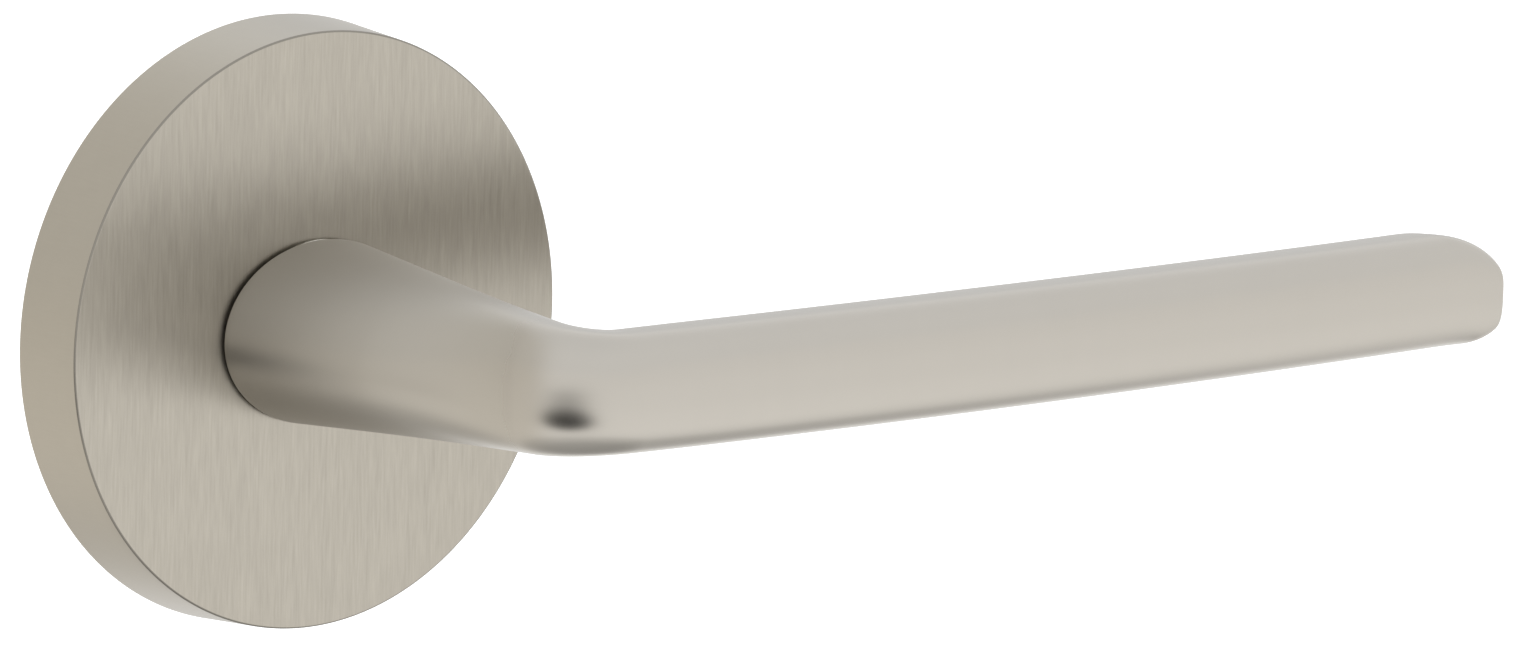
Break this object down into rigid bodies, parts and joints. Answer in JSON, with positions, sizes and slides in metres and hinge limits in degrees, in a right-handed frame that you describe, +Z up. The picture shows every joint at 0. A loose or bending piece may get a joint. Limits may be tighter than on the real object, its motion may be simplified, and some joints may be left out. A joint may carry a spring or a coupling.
{
  "type": "door lever handle",
  "caption": "Door lever handle on a plain round sprung rose: an oval neck turns through a soft elbow into a slim flat grip; the lever turns down against a return spring.",
  "frame": {"origin": "on the spindle's axis, in the plane of the door that the rose bears on", "axes": "+X along the grip from the neck to the tip, +Y into the door, +Z up"},
  "size_m": [0.1607, 0.0914, 0.0666],
  "materials": {
    "satin_nickel": "satin nickel plate, fine brushing",
    "zinc_steel": "zinc-plated pressed steel",
    "bright_steel": "bright zinc plate",
    "hub_steel": "sintered steel, oiled",
    "spring_steel": "tempered spring steel",
    "black_steel": "black oxide",
    "nylon": "natural nylon",
    "rubber": "matt"
  },
  "bodies": {
    "rose": {"rosette_cover": "satin_nickel", "cover_bush": "nylon", "cover_o_ring": "rubber", "mounting_plate": "zinc_steel", "bore_adapter_ring": "nylon", "adapter_rivets": "bright_steel", "through_bolts": "bright_steel", "bolt_washers": "bright_steel", "front_bearing": "nylon", "spring_housing": "zinc_steel", "housing_screws": "bright_steel", "rear_bearing": "nylon", "spring_post": "bright_steel", "stop_pins": "bright_steel", "return_spring": "spring_steel", "wave_washer": "spring_steel", "hub_washer": "nylon"},
    "lever": {"lever_handle": "satin_nickel", "lever_set_screw": "black_steel", "drive_hub": "hub_steel", "retaining_ring": "black_steel", "spindle": "bright_steel", "spindle_pin": "hub_steel", "anti_rattle_spring": "spring_steel"}
  },
  "joints": [
    {"name": "lever_turn", "type": "hinge", "parent": "rose", "child": "lever", "pos_m": [0, 0, 0], "axis": [0, 1, 0], "range_deg": [0, 50], "stiffness_Nm_per_rad": 0.6, "springref_deg": -34.38, "deforming": ["return_spring"]}
  ]
}
